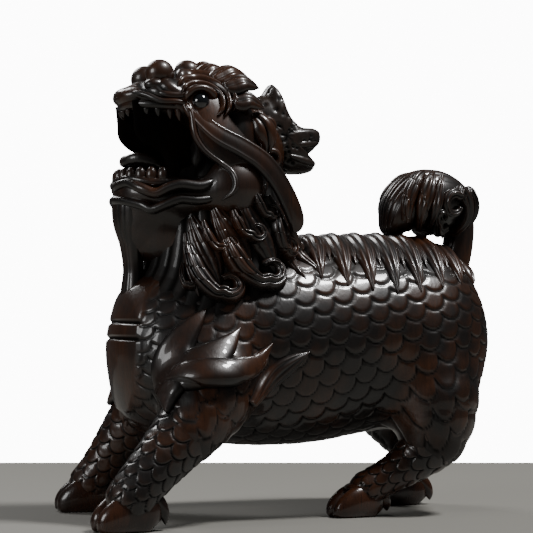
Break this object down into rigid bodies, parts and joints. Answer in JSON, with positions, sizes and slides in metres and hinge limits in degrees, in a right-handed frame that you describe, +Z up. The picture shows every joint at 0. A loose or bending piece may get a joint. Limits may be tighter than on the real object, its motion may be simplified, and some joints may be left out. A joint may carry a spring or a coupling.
{
  "type": "shisa lion statue",
  "caption": "Carved hardwood guardian lion figure with raised head, open roaring mouth, scaled body and curled tail; rests on its hooves.",
  "frame": {"origin": "on the ground plane, under the middle of the statue's box", "axes": "+Z up; the beast faces -X, its left flank is towards -Y"},
  "size_m": [0.0609, 0.0338, 0.061],
  "materials": {
    "carved_wood": "dark stained, carved and lacquered hardwood, worn red-brown on the high places",
    "pitted_wood": "stippled, greyer and duller than the body",
    "polished_wood": "smooth polished hooves",
    "eye_bead": "opaque glossy black bead"
  },
  "bodies": {
    "root": {"back_crest": "carved_wood", "beard": "carved_wood", "brow_left": "carved_wood", "brow_right": "carved_wood", "ear_left": "carved_wood", "ear_right": "carved_wood", "eye_left": "eye_bead", "eye_right": "eye_bead", "foreleg_left": "carved_wood", "foreleg_right": "carved_wood", "head": "carved_wood", "hindleg_left": "carved_wood", "hindleg_right": "carved_wood", "hoof_fore_left": "polished_wood", "hoof_fore_right": "polished_wood", "hoof_hind_left": "polished_wood", "hoof_hind_right": "polished_wood", "horn": "pitted_wood", "lower_jaw": "carved_wood", "mane_left": "carved_wood", "mane_right": "carved_wood", "neck": "carved_wood", "shoulder_flame_left": "carved_wood", "shoulder_flame_right": "carved_wood", "tail": "carved_wood", "tail_tuft": "carved_wood", "tongue": "carved_wood", "torso": "carved_wood", "whisker_left": "carved_wood", "whisker_right": "carved_wood"}
  },
  "joints": []
}
